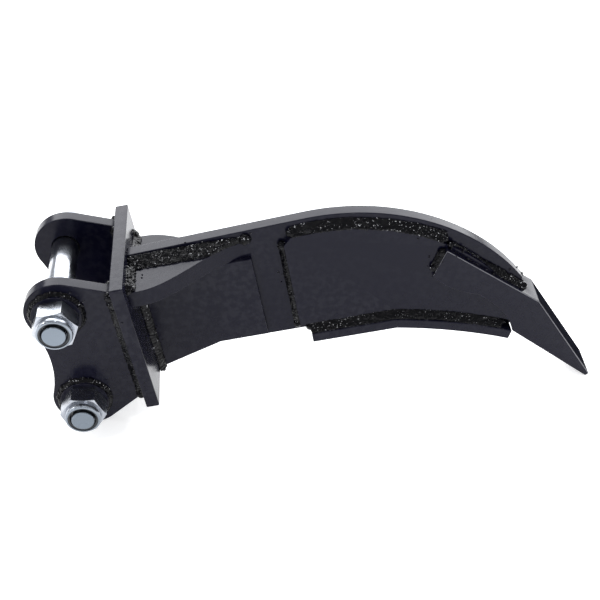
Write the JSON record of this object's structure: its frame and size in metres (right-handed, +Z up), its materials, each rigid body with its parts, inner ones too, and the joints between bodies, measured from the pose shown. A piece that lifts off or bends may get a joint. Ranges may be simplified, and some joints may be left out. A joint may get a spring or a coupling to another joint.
{
  "type": "pin-on single-shank ripper",
  "caption": "Single curved ripper shank on a head plate with two pin ears, gussets, side plates, a wear bar and a forked chisel tooth, for a small excavator's arm.",
  "frame": {"origin": "middle of the upper pin, on its axis", "axes": "+Y along the pins towards the bolt heads, +X forward to the point of the tooth, +Z up when the ripper stands on its ears and its point"},
  "size_m": [0.5278, 0.1615, 0.1929],
  "materials": {
    "black_enamel": "glossy black enamel over rolled plate, smooth on faces, thin and scuffed at flame-cut edges",
    "weld_bead": "rippled weld bead under glossy black enamel",
    "zinc_plate": "bright zinc plate, satin on the pins and brighter on the hexagons",
    "nylon": "translucent off-white nylon"
  },
  "bodies": {
    "root": {"near_ear": "black_enamel", "far_ear": "black_enamel", "head_plate": "black_enamel", "shank": "black_enamel", "near_gusset": "black_enamel", "far_gusset": "black_enamel", "near_root_plate": "black_enamel", "far_root_plate": "black_enamel", "near_side_plate": "black_enamel", "far_side_plate": "black_enamel", "wear_bar": "black_enamel", "tooth": "black_enamel", "near_upper_boss": "black_enamel", "near_lower_boss": "black_enamel", "far_upper_boss": "black_enamel", "far_lower_boss": "black_enamel", "ear_welds": "weld_bead", "boss_welds": "weld_bead", "gusset_welds": "weld_bead", "root_welds": "weld_bead", "side_plate_welds": "weld_bead", "wear_bar_welds": "weld_bead", "tooth_welds": "weld_bead"},
    "upper_bolt_body": {"upper_bolt": "zinc_plate"},
    "lower_bolt_body": {"lower_bolt": "zinc_plate"},
    "upper_ring_body": {"upper_nylon_ring": "nylon"},
    "lower_ring_body": {"lower_nylon_ring": "nylon"},
    "upper_nut_body": {"upper_nut": "zinc_plate"},
    "lower_nut_body": {"lower_nut": "zinc_plate"}
  },
  "joints": [
    {"name": "upper_bolt_slide", "type": "slide", "parent": "root", "child": "upper_bolt_body", "axis": [0, 1, 0], "range_m": [0, 0.17]},
    {"name": "upper_nut_travel", "type": "slide", "parent": "root", "child": "upper_ring_body", "axis": [0, -1, 0], "range_m": [0, 0.03]},
    {"name": "upper_nut_turn", "type": "hinge", "parent": "upper_ring_body", "child": "upper_nut_body", "pos_m": [0, -0.0725, 0], "axis": [0, -1, 0], "range_deg": [0, 3600]},
    {"name": "lower_bolt_slide", "type": "slide", "parent": "root", "child": "lower_bolt_body", "axis": [0, 1, 0], "range_m": [0, 0.17]},
    {"name": "lower_nut_travel", "type": "slide", "parent": "root", "child": "lower_ring_body", "axis": [0, -1, 0], "range_m": [0, 0.03]},
    {"name": "lower_nut_turn", "type": "hinge", "parent": "lower_ring_body", "child": "lower_nut_body", "pos_m": [0.01487, -0.0725, -0.09892], "axis": [0, -1, 0], "range_deg": [0, 3600]}
  ],
  "couplings": [
    {"joint": "upper_nut_travel", "follows": "upper_nut_turn", "m_per_rad": 0.00047746},
    {"joint": "lower_nut_travel", "follows": "lower_nut_turn", "m_per_rad": 0.00047746}
  ]
}
